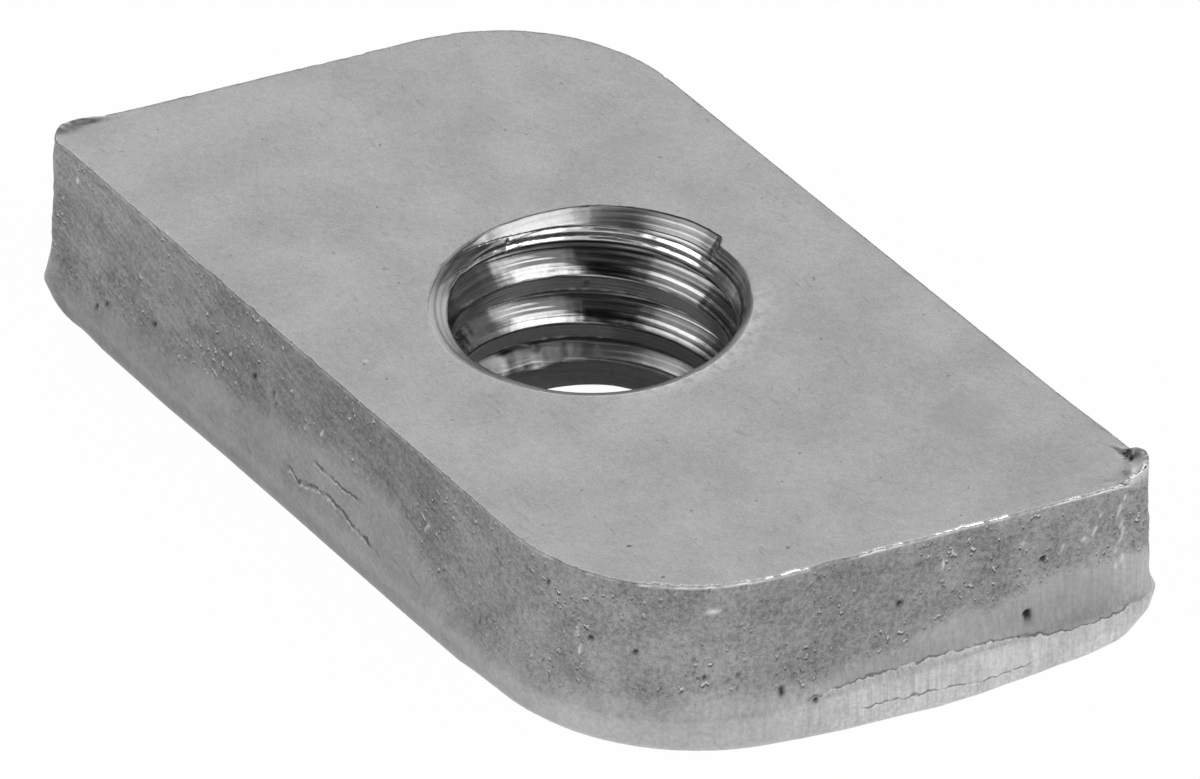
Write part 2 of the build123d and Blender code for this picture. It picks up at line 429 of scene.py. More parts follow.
def bore_radius(clockwise, depth, sizes):
    """Radius of the hole in mm at an angle clockwise from the far side and a depth below the face.

    Distance from the nearest groove on the helix, in pitches:
    q = (depth - start - lean) / pitch - angle / 360 - k. Groove share: rises from the crest above
    over UPPER_FLANK, falls to the crest below over LOWER_FLANK as the power FLANK_POWER, held
    between 0 and 1, less what the tap left uncut. The countersink is a cone, and the larger of
    the two radii counts; ridges are added under it, and a collar at the far side of the exit
    closes the last groove. Returns the radius and three shares: shade painted in torn pits, glint
    painted on the burr, and the side where the tap scored the flank and strokes of light are
    painted, -1 on the collar.
    how far the tap scored the flank, -1 on the collar.
    """
    degrees = np.degrees(clockwise)
    far_side = (degrees + 180.0) % 360.0 - 180.0
    minor = sizes["minor"] / 2
    pitch = sizes["pitch"]
    lean = axis_lean(clockwise)
    east, north = minor * np.cos(clockwise), minor * np.sin(clockwise)
    ragged = layered_grain(east / 0.14, north / 0.14, depth / 0.4, 101, 3)
    turns = (depth - sizes["groove_start"] - lean) / pitch - degrees / 360.0
    groove = np.round(turns)
    q = turns - groove
    along = degrees + 360.0 * groove
    q_ragged = q + np.where(q < 0, -0.010, 0.005) * ragged
    upper = (q_ragged + GROOVE_HALF) / UPPER_FLANK
    lower = np.clip((GROOVE_HALF - q_ragged) / LOWER_FLANK, 0.0, 1.0) ** FLANK_POWER
    share = np.where(q < 0, upper, lower)
    cut = ease((along - CUT_FROM) / CUT_OVER)
    share = np.clip(np.clip(share, 0.0, 1.0) + cut - 1.0, 0.0, 1.0)
    low_edge = np.clip(1.0 - np.abs(q - BURR_PLACE) / BURR_HALF, 0.0, 1.0)
    low_edge = low_edge * ease((along - 250.0) / 60.0)
    dots = np.zeros(q.shape)
    for place, reach, level in BURR_DOTS:
        dot = np.clip(1.5 - np.abs(far_side - place) / reach, 0.0, 1.0)
        dots = np.maximum(dots, dot * (np.abs(depth - level) < 0.35))
    dots = dots * low_edge
    burr = 0.010 * low_edge * np.clip(0.2 + ragged, 0.0, 1.2) + 0.032 * dots
    crest = 0.004 * layered_grain(east / 0.4, north / 0.4, depth / 0.05, 111, 2)
    radius = minor + sizes["thread_depth"] * share - burr + crest * (1 - share)
    # a glint painted on the burr dots
    painted_glint = dots * (0.8 + 0.3 * ragged)
    # the side where the tap scored the flank, and where the right strokes of light are painted
    scored_and_lit = span(far_side, 2.0, 80.0, 14.0, 20.0)

    # the countersink, with a chattered rim
    rim, drop, end_radius, end_depth = (
        from_table(MOUTH, degrees % 360.0, column) for column in (1, 2, 3, 4))
    chatter = 0.006 * layered_grain(east / 0.11, north / 0.11, 0, 121, 2)
    rim = rim + chatter * ease(0.2 + np.cos(clockwise - radians(25.0)))
    rim = rim + 2.2 * chatter * span(far_side, 112.0, 156.0, 10.0, 10.0)
    slope = np.clip((depth - drop) / (end_depth - drop), 0.0, 1.0)
    tail = np.clip((depth - end_depth) / 0.45, 0.0, 1.0)
    cone = rim + (end_radius - rim) * slope + (minor - 0.3 - end_radius) * tail
    cone = np.where(tail > 0, np.maximum(cone, end_radius + (minor - end_radius) * tail), cone)
    radius = np.maximum(radius, cone)

    # the collar of the exit at the far side
    level = from_table(COLLAR, far_side) + 0.010 * ragged
    collar = COLLAR_RADIUS - COLLAR_TAPER * (depth - level) + 1.0 * np.clip(level - depth, 0.0, 1.0)
    collar = collar - 0.045 * bell(far_side, 18.0, 7.0) * ease((depth - 3.25) / 0.25)
    away = 1.0 - ease(np.cos(clockwise) / 0.5)
    scored_and_lit = np.where((depth > level - 0.02) & (np.abs(far_side) < 75), -1.0, scored_and_lit)
    radius = np.where(depth > 2.4, np.minimum(radius, collar + 0.8 * away), radius)

    # ridges of the band under the countersink, out at once and back in on a slope, and torn places
    # with shade painted in them
    facing = span(far_side, -85.0, 60.0, 25.0, 14.0)
    climb = from_table(RIDGE_CLIMB, far_side)
    for level, height in RIDGES:
        below = depth - level - climb
        tooth = np.where(below < 0, 1 + below / RIDGE_STEP, 1 - below / height)
        tooth = height * np.clip(tooth, 0.0, 1.0) * (1 - share)
        radius = radius + tooth * facing * (0.8 + 0.2 * ragged)
    torn = np.zeros(radius.shape)
    for place, level, wide, high, sunk, dark in BORE_PITS:
        away = np.radians((far_side - place + 180.0) % 360.0 - 180.0) * minor
        dip = np.exp(-((away / wide) ** 2 + ((depth - level) / high) ** 2) ** 1.5)
        radius = radius + sunk * dip
        torn = np.maximum(torn, dark * dip)
    return radius, torn, np.clip(painted_glint, 0.0, 1.0), scored_and_lit


# Rows of one pitch, as shares of it above the middle of a groove: root, flank under the
# next crest, crest, flank that faces up; a close pair of rows stands at each corner.
PITCH_ROWS = np.array([
    0.04, 0.065, 0.095, 0.17, 0.25, 0.333, 0.355, 0.385, 0.42, 0.50, 0.58, 0.645,
    0.667, 0.73, 0.80, 0.87, 0.94, 0.99])

# Rings of the face and of the underside, as shares of the way out from the hole
DISC_WAYS = (0.012, 0.04, 0.10, 0.22, 0.40, 0.62, 0.84)
SOLE_WAYS = (0.015, 0.06, 0.15, 0.3, 0.5, 0.72, 0.9, 0.97)

MOUTH_DEPTH = 0.66        # depth of the level rows at the mouth of the hole (mm)
FACE, WALL, BORE = 0, 1, 2          # material numbers


class Shell:
    """Vertices, faces and vertex values of the one closed mesh, gathered band by band."""

    def __init__(self):
        self.points, self.values, self.faces, self.kinds = [], [], [], []
        self.count = 0

    def add(self, points, torn=0.0, painted_shade=0.0, painted_glint=0.0, turning=0.0, coned=0.0):
        """Adds rows of points with their vertex values; returns their numbers."""
        shape = points.shape[:-1]
        values = np.zeros(shape + (7,))
        for column, value in enumerate((torn, painted_shade, painted_glint, coned)):
            values[..., column] = value
        values[..., 4:7] = turning
        numbers = self.count + np.arange(int(np.prod(shape))).reshape(shape)
        self.points.append(points.reshape(-1, 3))
        self.values.append(values.reshape(-1, 7))
        self.count += numbers.size
        return numbers

    def add_faces(self, face, kind):
        """Adds triangles, three numbers a row, leaving out those with a repeated corner."""
        whole = (face[:, 0] != face[:, 1]) & (face[:, 1] != face[:, 2]) & (face[:, 2] != face[:, 0])
        self.faces.append(face[whole])
        self.kinds.append(np.full(whole.sum(), kind))

    def quads(self, rows, kind, closed=True):
        """Joins neighbouring rows of numbers, two triangles for each quad."""
        ring = np.concatenate([rows, rows[:, :1]], 1) if closed else rows
        a, b = ring[:-1, :-1].ravel(), ring[:-1, 1:].ravel()
        c, d = ring[1:, 1:].ravel(), ring[1:, :-1].ravel()
        self.add_faces(np.stack([a, b, c], -1), kind)
        self.add_faces(np.stack([a, c, d], -1), kind)

    def widen(self, coarse, fine, kind, down=False):
        """Joins a coarse ring to a ring of BORE_SHARE times as many points by fans of triangles."""
        steps = fine.reshape(-1, BORE_SHARE)
        following = np.roll(fine, -1).reshape(-1, BORE_SHARE)
        fans = [
            np.stack([coarse, steps[:, i], following[:, i]], -1) for i in range(BORE_SHARE)]
        fans.append(np.stack([coarse, following[:, -1], np.roll(coarse, -1)], -1))
        for face in fans:
            self.add_faces(face[:, ::-1] if down else face, kind)


def wall_marks(place):
    """Three values of the wall's shader: edge length in units of 100 mm and two tones."""
    torn_tone, smooth_tone = from_table(WALL_TONE, place), from_table(WALL_TONE, place, 2)
    return np.stack([place * 0.01, torn_tone, smooth_tone], -1)


def turning_vector(depth, around, pitch):
    """Cosine and sine of the place across the groove, 0 in its middle, and depth / 4."""
    phase = ((depth - axis_lean(around)) / pitch - around / (2 * np.pi)) * 2 * np.pi
    return np.stack([np.cos(phase), np.sin(phase), depth * 0.25 + 0 * around], -1)


def round_points(radius, angle, height):
    """Points at a radius, an angle and a height."""
    return np.stack(np.broadcast_arrays(radius * np.cos(angle), radius * np.sin(angle), height), -1)


def flat_rings(rim, outer, ways, height):
    """Level rings on straight lines from a rim to an outer ring, at shares of the way."""
    rings = rim[None] + (outer - rim)[None] * np.array(ways)[:, None, None]
    return np.concatenate([rings, np.full(rings.shape[:2] + (1,), height)], -1)


def add_outside(shell, sizes):
    """Wall, rolled foot and the outer part of the face.

    Each point is the outline's point plus its normal times an offset. The wall draws in by
    mouth_inset * (1 - flare), flare = 0.32 s + 0.68 s^p, with s from 0 at the face to 1 at the
    widest line. The foot is a quarter of an ellipse. The face runs in from the edge, with the
    burr lips on it and a groove behind them. Returns the inmost row of the face and the lowest
    row of the foot, each as points and numbers.
    """
    thickness, mouth_inset, tip = sizes["thickness"], sizes["mouth_inset"], sizes["tip_radius"]

    # edge length of each sample, along the widest outline
    widest, normals = outline(sizes, 0.0, tip, tip)
    pieces = np.linalg.norm(np.roll(widest[0], -1, 0) - widest[0], axis=1)
    perimeter = pieces.sum()
    length = np.concatenate([[0.0], np.cumsum(pieces)[:-1]])

    # wall, from the top edge down to the widest line
    down = np.concatenate([[0.0, 0.005, 0.010, 0.016], np.linspace(0.030, 1.0, 31)])
    high_line = from_table(WIDEST_LINE, length)
    level = thickness - (thickness - high_line)[None] * down[:, None]
    share = (thickness - level) / (thickness - high_line)[None]
    flare = 0.32 * share + 0.68 * share ** from_table(FLARE_POWER, length)[None]
    rows, _ = outline(sizes, np.zeros(len(down)), tip, tip)
    place = np.broadcast_to(length, level.shape)
    relief, torn, painted_shade, painted_glint = wall_relief(place, level, rows[..., 0], rows[..., 1])
    edge_wave = 0.006 * layered_grain(length / 0.35, 0, 0, 131, 4)
    edge_wave = edge_wave - 0.022 * ease((grain(length / 0.16, 0, 0, 133) - 0.62) / 0.2)
    edge_wave = edge_wave * (1.0 - 0.8 * span(length, 27.8, 41.0, 0.6, 0.6))
    burr = edge_burr(length)
    lips = lip_height(length, perimeter)
    bright_edge = np.clip(burr / 0.02, 0, 1)
    lip_share = np.clip(lips / 0.1, 0, 1)
    below = thickness - level
    calm = ease(below / 0.10)
    offset = relief * calm + (1 - calm) * edge_wave[None] - mouth_inset * (1.0 - flare)
    round_off = 0.022 * (1 - np.sqrt(np.clip(1 - np.clip(1 - below / 0.022, 0, 1) ** 2, 0, 1)))
    round_off = round_off * np.clip(1 - burr / 0.02 - lips / 0.03, 0, 1)[None]
    round_off = round_off + 0.045 * bright_edge[None] * np.clip(1 - below / 0.045, 0, 1)
    offset = offset + plan_shift(place, perimeter, level) - round_off
    lift = ease(1 - below / 0.12)
    flat = rows + normals[None] * offset[..., None]
    wall = np.concatenate([flat, (level + lift * (burr + lips)[None])[..., None]], -1)
    # glints painted on the front burr and on the wall beside the lips
    painted_glint = np.maximum(painted_glint, bright_edge[None] * np.clip(2.4 - below / 0.030, 0, 1))
    painted_glint = np.maximum(painted_glint, 0.5 * lip_share[None] * lift)
    wall_numbers = shell.add(wall, torn, painted_shade, painted_glint, wall_marks(place))

    # rolled foot, from the widest line down
    turn = np.linspace(0, np.pi / 2, 11)[1:]
    foot_height = np.minimum(high_line, FOOT_HEIGHT)
    upright = (foot_height + (high_line - foot_height) * 0.5)[None]
    foot_level = np.concatenate([upright, foot_height[None] * (1 - np.sin(turn))[:, None]])
    draw = from_table(FOOT_DRAW, length)[None] * (1 - np.cos(turn))[:, None]
    inset = np.concatenate([0 * upright, draw])
    grow = (1 - foot_level.mean(1) / high_line.mean()) ** 1.6
    rows, _ = outline(sizes, np.zeros(len(foot_level)), tip + 0.5 * grow, tip + 1.7 * grow)
    place = np.broadcast_to(length, foot_level.shape)
    relief, torn, painted_shade, painted_glint = wall_relief(place, foot_level, rows[..., 0], rows[..., 1])
    offset = relief * ease(foot_level / 0.15) - inset + plan_shift(place, perimeter, foot_level)
    foot = np.concatenate([rows + normals[None] * offset[..., None], foot_level[..., None]], -1)
    foot[-1, :, 2] = 0.0
    foot_numbers = shell.add(foot, torn, painted_shade, painted_glint, wall_marks(place))
    shell.quads(np.concatenate([wall_numbers, foot_numbers])[::-1], WALL)

    # upper face, in from the edge, over the lips and the groove behind them
    inward = np.array([0.010, 0.022, 0.04, 0.065, 0.095, 0.13, 0.17, 0.22, 0.29, 0.40, 0.60, 0.90])
    face_tip = tip - mouth_inset + 0.5 * inward
    inner, _ = outline(sizes, mouth_inset + inward, face_tip, face_tip)
    x, y = inner[..., 0], inner[..., 1]
    crown = ease(1 - (inward - 0.03) / 0.10)
    behind = -LIP_GROOVE * bell(inward, 0.17, 0.035)
    lump = 1 + 0.25 * grain(x / 0.09, y / 0.09, 0, 141)
    rise = (crown + behind)[:, None] * lips[None] * lump
    rise = rise + ease(1 - inward / 0.05)[:, None] * burr[None]
    shift = plan_shift(length, perimeter, thickness) + edge_wave
    shift = ease(1 - inward / 0.30)[:, None] * shift[None]
    inner = inner + normals[None] * shift[..., None]
    face = np.concatenate([inner, (thickness + rise)[..., None]], -1)
    # glints painted on the burr and the lips, and shade painted in the hollow behind the lips
    burr_glint = bright_edge[None] * ease(1.3 - inward / 0.03)[:, None]
    lip_glint = ease(0.35 + 0.9 * grain(x / 0.13, y / 0.13, 0, 143))
    lip_glint = lip_share[None] * crown[:, None] * lip_glint
    shade = lip_share[None] * bell(inward, 0.12, 0.08)[:, None]
    shade = shade * ease(0.7 + 1.2 * grain(x / 0.12, y / 0.12, 0, 145))
    face_numbers = shell.add(face, 0.0, 0.45 * shade, np.maximum(burr_glint, 0.9 * lip_glint))
    shell.quads(np.concatenate([wall_numbers[:1], face_numbers]), FACE)
    return (face[-1], face_numbers[-1]), (foot[-1], foot_numbers[-1])


def add_hole(shell, sizes, face_ring, foot_ring):
    """Mouth, thread and exit of the hole, and the flat rings that join them to the outside.

    Each point lies at bore_radius from the axis, at an angle and a depth. The mouth has level
    rows; the thread's rows climb with the helix and are held at the mouth and at the exit.
    """
    thickness, pitch, exit_break = sizes["thickness"], sizes["pitch"], sizes["exit_break"]

    # angles shared between even spacing and the direction of the outline
    ring = sum(OUTLINE_SAMPLES) // BORE_SHARE
    inmost = face_ring[0][BORE_SHARE // 2::BORE_SHARE, :2]
    toward = np.unwrap(np.arctan2(inmost[:, 1], inmost[:, 0]))
    even = toward[0] + np.arange(ring) / ring * 2 * np.pi
    angle = even + 0.35 * (toward - even) - 0.35 * (toward - even).mean()
    around = sizes["thread_start"] - angle

    # mouth, with a softened rim at the near side
    rim_depths = [0.0, 0.006, 0.014, 0.022, 0.032]
    depths = np.concatenate([rim_depths, np.linspace(0.046, MOUTH_DEPTH, 48)])
    depth = np.broadcast_to(depths[:, None], (len(depths), ring))
    around_rows = np.broadcast_to(around, depth.shape)
    radius, painted_dark, painted_burr_glint, scored_and_lit = bore_radius(around_rows, depth, sizes)
    radius = radius + np.exp(-depth / 0.010) * 0.012 * (0.5 - 0.5 * np.cos(around_rows))
    turned = (np.degrees(around_rows) + 180.0) % 360.0 - 180.0
    broken = layered_grain(turned / 2.2, depth / 0.02, 0, 151, 2)
    # a shadow line painted at the top of the far rim
    rim_dark = span(turned, -8.0, 58.0, 6.0, 6.0) * ease((0.022 - depth) / 0.014)
    rim_dark = rim_dark * ease(0.6 + broken)
    # dark rings painted in the countersink as the shade of its tool grooves
    ring_dark = bell(depth, 0.085, 0.014) + 0.7 * bell(depth, 0.165, 0.016)
    ring_dark = 0.55 * ring_dark * span(turned, -160.0, -42.0, 30.0, 10.0)
    painted_dark = np.maximum(painted_dark, np.maximum(rim_dark, ring_dark))
    turning = turning_vector(depth, around_rows, pitch)
    cone_turning = np.stack([depth * 6.3 + 4.0, 0 * depth, 0.12 * np.cos(around_rows)], -1)
    turning = np.where((depth < 0.25)[..., None], cone_turning, turning)
    mouth = round_points(radius, angle, thickness - depth)
    mouth_numbers = shell.add(mouth, scored_and_lit, painted_dark, painted_burr_glint, turning, ease(1 - depth / 0.32))
    shell.quads(mouth_numbers, BORE)

    # face between the rim and the drawn-in rows
    disc = flat_rings(mouth[0, :, :2], inmost, DISC_WAYS, thickness)
    disc_numbers = shell.add(disc)
    shell.quads(np.concatenate([mouth_numbers[:1], disc_numbers])[::-1], FACE)
    shell.widen(disc_numbers[-1], face_ring[1], FACE)

    # thread rows, and the ring that they end on
    top, base, per_turn = thickness - MOUTH_DEPTH, exit_break, len(PITCH_ROWS)
    groove_line = thickness - sizes["groove_start"] - axis_lean(around)
    groove_line = groove_line - around / (2 * np.pi) * pitch
    lowest = int(np.floor((base - pitch - groove_line[0]) / pitch)) - 1
    highest = int(np.ceil((top - groove_line[0]) / pitch)) + 1
    steps = (np.arange(lowest, highest + 1)[:, None] + PITCH_ROWS[None]).ravel() * pitch
    height = groove_line[None] + steps[:, None]
    held_top, held_base = height >= top - 1e-6, height <= base + 1e-6
    height = np.clip(height, base, top)
    depth = thickness - height
    around_rows = np.broadcast_to(around, depth.shape)
    radius, painted_dark, painted_burr_glint, scored_and_lit = bore_radius(around_rows, depth, sizes)
    thread = round_points(radius, angle, height)
    turning = turning_vector(depth, around_rows, pitch)
    base_depth = np.full(ring, thickness - base)
    base_radius = bore_radius(around, base_depth, sizes)[0]
    base_turning = turning_vector(base_depth, around, pitch)
    base_numbers = shell.add(round_points(base_radius, angle, base), turning=base_turning)
    free = ~(held_top | held_base)
    numbers = np.where(held_top, mouth_numbers[-1][None], base_numbers[None])
    numbers[free] = shell.add(thread[free], scored_and_lit[free], painted_dark[free], painted_burr_glint[free], turning[free])
    # the last column meets the first one a whole turn further on, as the lean is the same there
    closing = np.concatenate([numbers[per_turn:, :1], np.full((per_turn, 1), mouth_numbers[-1][0])])
    shell.quads(np.concatenate([numbers, closing], 1)[::-1], BORE, closed=False)

    # exit: a small break, then the underside out to the foot
    spread = 0.06 * np.array([0.3, 1.0])[:, None] * (1.0 - 0.95 * ease(np.cos(around) / 0.5))[None]
    under = exit_break * np.array([0.6, 0.0])[:, None]
    exit_rows = round_points(base_radius[None] + spread, angle, under)
    exit_numbers = shell.add(exit_rows)
    shell.quads(np.concatenate([base_numbers[None], exit_numbers]), BORE)
    outer = foot_ring[0][BORE_SHARE // 2::BORE_SHARE, :2]
    sole = flat_rings(exit_rows[-1, :, :2], outer, SOLE_WAYS, 0.0)
    sole_numbers = shell.add(sole)
    shell.quads(np.concatenate([exit_numbers[-1:], sole_numbers]), FACE)
    shell.widen(sole_numbers[-1], foot_ring[1], FACE, down=True)


def mesh_from_shell(name, shell):
    """Puts the gathered arrays into a mesh in metres, with its values as attributes."""
    points = np.concatenate(shell.points) * 0.001
    values = np.concatenate(shell.values).astype(np.float32)
    faces = np.concatenate(shell.faces).astype(np.int32)
    kinds = np.concatenate(shell.kinds).astype(np.int32)
    mesh = bpy.data.meshes.new(name)
    mesh.vertices.add(len(points))
    mesh.vertices.foreach_set("co", points.astype(np.float32).ravel())
    mesh.loops.add(faces.size)
    mesh.loops.foreach_set("vertex_index", faces.ravel())
    mesh.polygons.add(len(faces))
    mesh.polygons.foreach_set("loop_start", np.arange(0, faces.size, 3, dtype=np.int32))
    mesh.polygons.foreach_set("material_index", kinds)
    mesh.update(calc_edges=True)
    mesh.validate()
    mesh.shade_smooth()
    for column, label in enumerate(("torn", "painted_shade", "painted_glint", "bored")):
        layer = mesh.attributes.new(label, "FLOAT", "POINT")
        layer.data.foreach_set("value", values[:, column])
    layer = mesh.attributes.new("turning", "FLOAT_VECTOR", "POINT")
    layer.data.foreach_set("vector", values[:, 4:7].ravel())
    return mesh


class Value:
    """A number, vector or colour in a shader tree; signs between two of them add math nodes."""

    def __init__(self, nodes, socket):
        self.nodes, self.socket = nodes, socket

    def __add__(self, other):
        return self.nodes.math("ADD", self, other)

    def __sub__(self, other):
        return self.nodes.math("SUBTRACT", self, other)

    def __rsub__(self, other):
        return self.nodes.math("SUBTRACT", other, self)

    def __mul__(self, other):
        return self.nodes.math("MULTIPLY", self, other)

    def __truediv__(self, other):
        return self.nodes.math("DIVIDE", self, other)

    def __abs__(self):
        return self.nodes.math("ABSOLUTE", self)

    def band(self, low, high, start=0.0, end=1.0):
        """Eased change from start to end while the value goes from low to high."""
        return self.nodes.add(
            "ShaderNodeMapRange", {"interpolation_type": "SMOOTHSTEP"}, Value=self,
            From_Min=low, From_Max=high, To_Min=start, To_Max=end)

    def swing(self, reach, half=0.25):
        """Eased change from -reach to reach while the value goes through 0.5 by half each way."""
        return self.band(0.5 - half, 0.5 + half, -reach, reach)


def largest(first, *others):
    """Largest of a shader value and further values or numbers."""
    for other in others:
        first = first.nodes.math("MAXIMUM", first, other)
    return first


class Nodes:
    """Short way to add shader nodes and join them."""

    def __init__(self, tree):
        self.tree = tree

    def put(self, value, socket):
        """Links a shader value to a socket, or sets the socket to a plain number or colour."""
        if isinstance(value, Value):
            self.tree.links.new(value.socket, socket)
        else:
            socket.default_value = value

    def add(self, kind, settings=None, output=0, **inputs):
        """Adds a node and returns one of its outputs.

        Settings are the node's own fields; inputs are its sockets by name, or by place as i0, i1.
        """
        node = self.tree.nodes.new(kind)
        for key, value in (settings or {}).items():
            setattr(node, key, value)
        for key, value in inputs.items():
            label = int(key[1:]) if key[0] == "i" and key[1:].isdigit() else key.replace("_", " ")
            self.put(value, node.inputs[label])
        return Value(self, node.outputs[output])

    def math(self, operation, first, second=0.0):
        """Result of a sum of two values."""
        return self.add("ShaderNodeMath", {"operation": operation}, i0=first, i1=second)

    def measure(self, operation, first, second=(0.0, 0.0, 0.0)):
        """Length of a vector, or distance or dot product of two."""
        settings = {"operation": operation}
        return self.add("ShaderNodeVectorMath", settings, "Value", i0=first, i1=second)

    def parts(self, vector):
        """The three parts of a vector."""
        node = self.tree.nodes.new("ShaderNodeSeparateXYZ")
        self.put(vector, node.inputs[0])
        return [Value(self, output) for output in node.outputs]

    def scaled(self, vector, scale, turn=0.0):
        """A vector turned round Z and scaled in each direction."""
        return self.add("ShaderNodeMapping", Vector=vector, Scale=scale, Rotation=(0.0, 0.0, turn))

    def noise(self, vector, scale, detail=3.0, rough=0.55):
        """Noise value between 0 and 1."""
        return self.add(
            "ShaderNodeTexNoise", Vector=vector, Scale=scale, Detail=detail, Roughness=rough)

    def curve(self, value, points):
        """Height of a line of straight pieces at a value, both between 0 and 1."""
        height = self.add("ShaderNodeFloatCurve", Value=value)
        mapping = height.socket.node.mapping
        line = mapping.curves[0]
        line.points[0].location, line.points[-1].location = points[0], points[-1]
        for point in points[1:-1]:
            line.points.new(*point)
        for point in line.points:
            point.handle_type = "VECTOR"
        mapping.update()
        return height

    def value(self, name, output="Fac"):
        """A vertex value of the mesh."""
        settings = {"attribute_type": "GEOMETRY", "attribute_name": name}
        return self.add("ShaderNodeAttribute", settings, output)

    def ray(self, kind):
        """1 for rays of one kind, 0 for others."""
        return self.add("ShaderNodeLightPath", output="Is " + kind + " Ray")

    def mix(self, share, first, second, blend="MIX"):
        """Mixed colour."""
        node = self.tree.nodes.new("ShaderNodeMix")
        node.data_type, node.blend_type = "RGBA", blend
        for label, value in (("Factor_Float", share), ("A_Color", first), ("B_Color", second)):
            self.put(value, next(s for s in node.inputs if s.identifier == label))
        return Value(self, next(s for s in node.outputs if s.identifier == "Result_Color"))

    def toward(self, colour, share, grey):
        """A colour moved by a share toward a grey."""
        return self.mix(share, colour, (grey, grey, grey, 1.0))

    def shade(self, colour, tone):
        """A plain colour times a tone."""
        tones = self.add("ShaderNodeCombineColor", Red=tone, Green=tone, Blue=tone)
        return self.mix(1.0, tuple(colour) + (1.0,), tones, "MULTIPLY")


def start_material(name):
    """A new metallic material; returns it, its nodes and the place in millimetres."""
    material = bpy.data.materials.new(name)
    material.use_nodes = True
    nodes = Nodes(material.node_tree)
    place = nodes.add("ShaderNodeTexCoord", output="Object")
    return material, nodes, nodes.scaled(place, (1000.0, 1000.0, 1000.0))


def finish_material(nodes, colour, rough, height, bump_depth):
    """Joins colour, roughness and bump to the shader; bump_depth is in metres."""
    shader = nodes.tree.nodes["Principled BSDF"]
    shader.inputs["Metallic"].default_value = 1.0
    bump = nodes.add("ShaderNodeBump", Height=height, Strength=1.0, Distance=bump_depth)
    nodes.put(colour, shader.inputs["Base Color"])
    nodes.put(rough, shader.inputs["Roughness"])
    nodes.put(bump, shader.inputs["Normal"])


def face_steel(finish):
    """Flat rolled face: satin grey, faintly mottled, with a few small specks and nicks."""
    material, nodes, place = start_material("face_steel")
    cloud = nodes.noise(place, 0.55, 2.0)
    mottle = nodes.noise(place, 7.0, 4.0, 0.6)
    sand = nodes.noise(place, 22.0, 2.0, 0.6)
    specks = nodes.noise(place, 4.6, 2.0, 0.75).band(0.70, 0.76)
    pale = nodes.noise(place, 5.2, 2.0, 0.7).band(0.69, 0.76)
    # short hairs along the plate
    hairs = nodes.noise(nodes.scaled(place, (2.6, 13.0, 1.0), 0.12), 1.0, 2.0, 0.5).band(0.66, 0.72)
    # paler metal where the hole's burr was rubbed off, in a ring to its right and in front of it
    flat = nodes.scaled(place, (1.0, 1.0, 0.0))
    reach = nodes.measure("LENGTH", flat)
    beside = (nodes.measure("DOT_PRODUCT", flat, RUBBED_SIDE) / reach).band(0.55, 0.90)
    rubbed = reach.band(2.75, 3.15, 1.0, 0.0) * beside * mottle.band(0.35, 0.6)

    tone = cloud.swing(0.08) + mottle.swing(0.13) + sand.swing(0.10) + 1.0
    colour = nodes.shade(finish.face_colour, tone)
    for share, grey in (
            (specks * 0.5, 0.12), (pale * 0.38, 0.75), (hairs * 0.17, 0.18), (rubbed * 0.85, 0.94)):
        colour = nodes.toward(colour, share, grey)
    # marks, among them painted shade and painted glints at the right tip's knob
    for x, y, size, grey, share in FACE_MARKS:
        away = nodes.measure("DISTANCE", place, (x, y, FACE_LEVEL))
        away = away + mottle.swing(0.5 * min(size, 0.2), 0.3)
        colour = nodes.toward(colour, away.band(0.4 * size, size, share, 0.0), grey)
    # shade painted behind the lips, and glints painted on the burr and the lips
    colour = nodes.toward(colour, nodes.value("painted_shade") * 0.8, 0.06)
    painted_glint = nodes.value("painted_glint")
    colour = nodes.toward(colour, painted_glint, 0.95)
    rough = mottle.band(0.3, 0.7, 0.46, 0.54) - painted_glint.band(0.3, 1.0, 0.0, 0.30)
    finish_material(nodes, colour, rough, mottle * 0.6 + sand * 0.4, FACE_BUMP)
    return material


